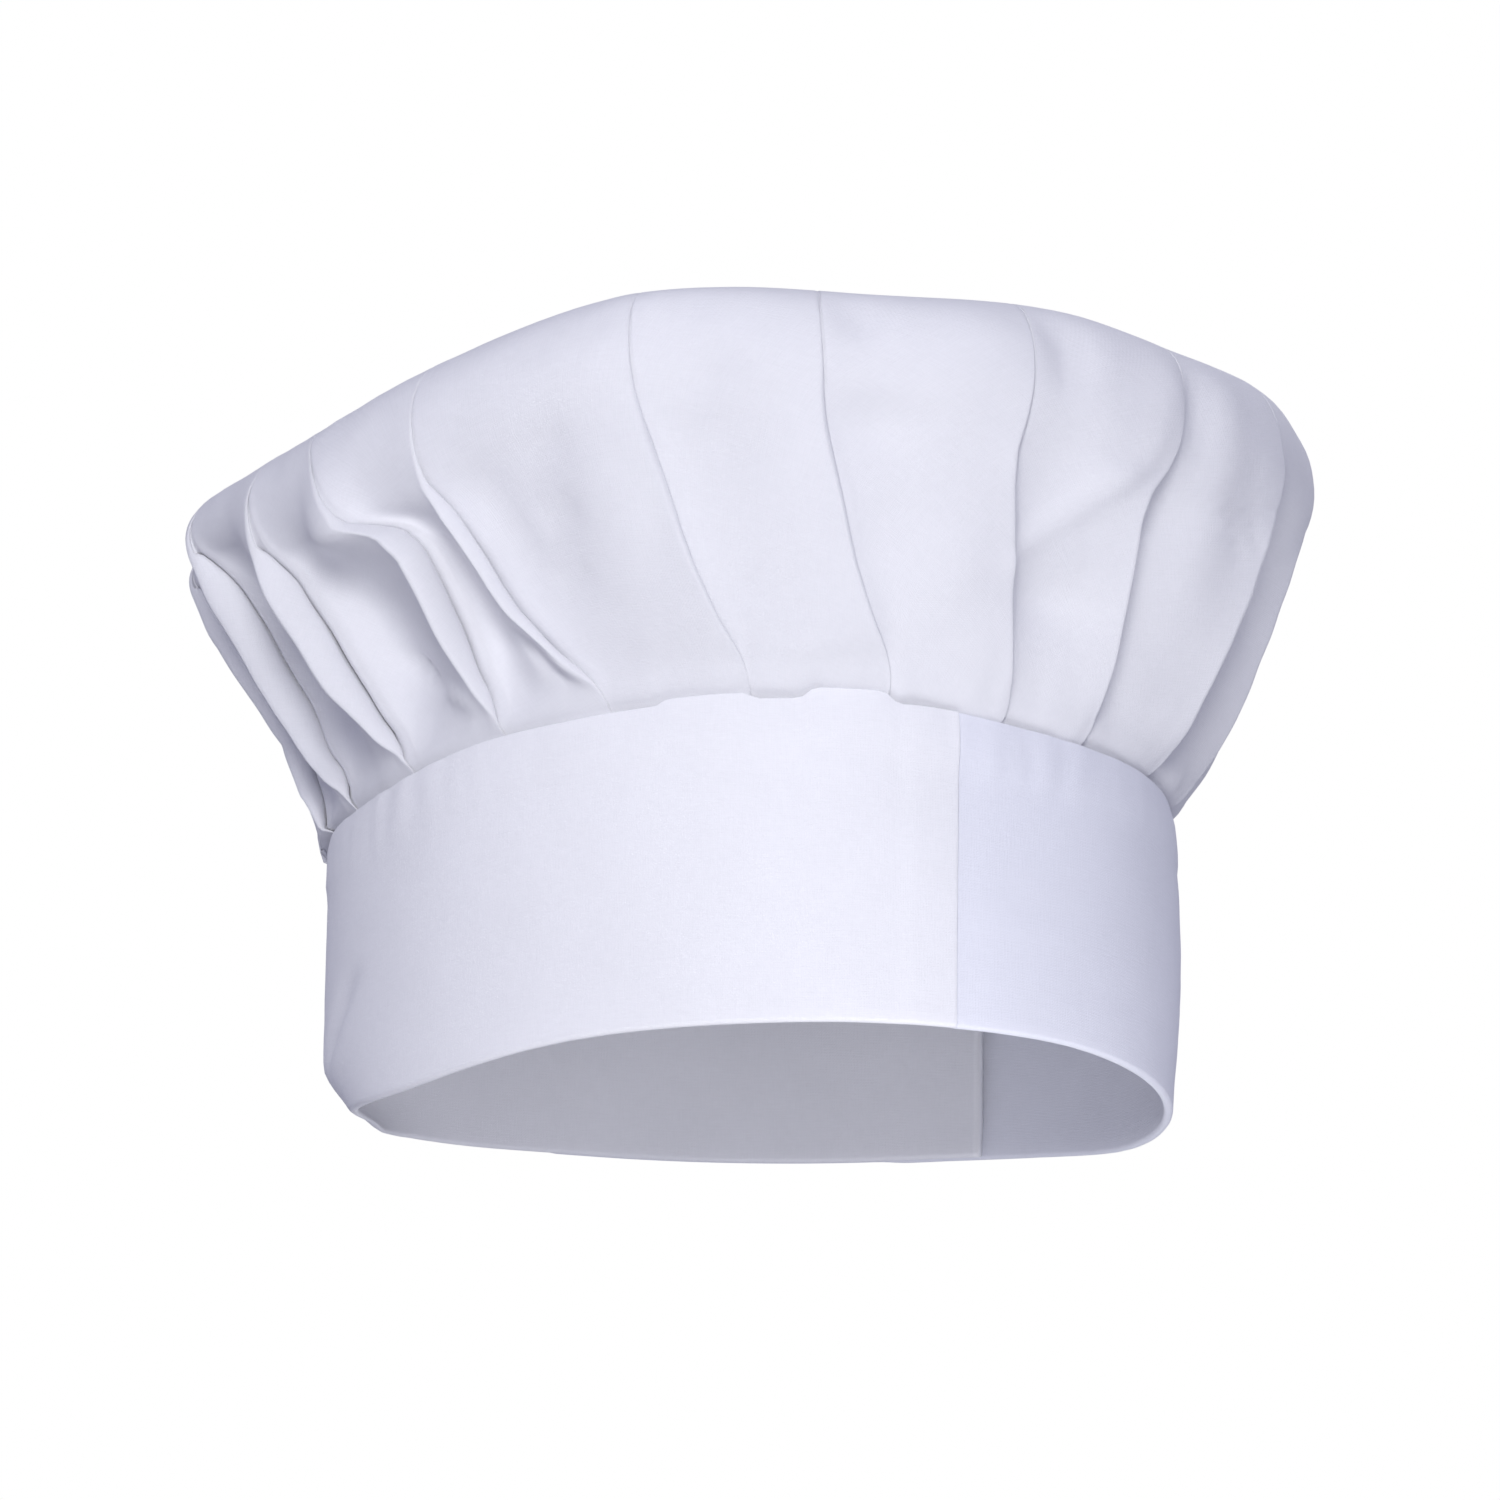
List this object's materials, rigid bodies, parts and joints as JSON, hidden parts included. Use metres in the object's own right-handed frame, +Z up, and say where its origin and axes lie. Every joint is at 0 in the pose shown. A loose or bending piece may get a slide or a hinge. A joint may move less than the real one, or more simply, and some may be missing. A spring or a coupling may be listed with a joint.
{
  "type": "chef toque",
  "caption": "White chef's toque: a soft knife-pleated crown sewn into an upright doubled band that closes at the back with a hook and loop tab.",
  "frame": {"origin": "middle of the hat's footprint at the height of the hem, where it stands on a table", "axes": "+Z up, the wearer looks along -Y, +X is the wearer's left hand side (a viewer in front sees it on the right)"},
  "size_m": [0.2617, 0.2341, 0.166],
  "materials": {
    "crown_cotton": "white poly-cotton poplin, matte",
    "band_cotton": "white poly-cotton poplin, pressed and stiffened",
    "binding_cotton": "white cotton bias tape",
    "stiffener": "off-white non-woven interfacing",
    "loop_tape": "white napped loop tape",
    "hook_tape": "white nylon hook tape",
    "thread": "white polyester sewing thread",
    "label": "white satin ribbon, blank"
  },
  "bodies": {
    "hat": {"crown": "crown_cotton", "slit_binding": "binding_cotton", "band_main_panel": "band_cotton", "band_side_panel": "band_cotton", "main_stiffener": "stiffener", "side_stiffener": "stiffener", "loop_tape": "loop_tape", "loop_tape_stitching": "thread", "crown_seam_thread": "thread", "front_joint_thread": "thread", "size_label": "label", "label_stitching": "thread"},
    "tab": {"tab_cover": "band_cotton", "tab_stiffener": "stiffener", "hook_tape": "hook_tape", "hook_tape_stitching": "thread"}
  },
  "joints": [
    {"name": "tab_peel", "type": "hinge", "parent": "hat", "child": "tab", "pos_m": [0.03372, 0.09218, 0], "axis": [0, 0, -1], "range_deg": [0, 80]}
  ]
}
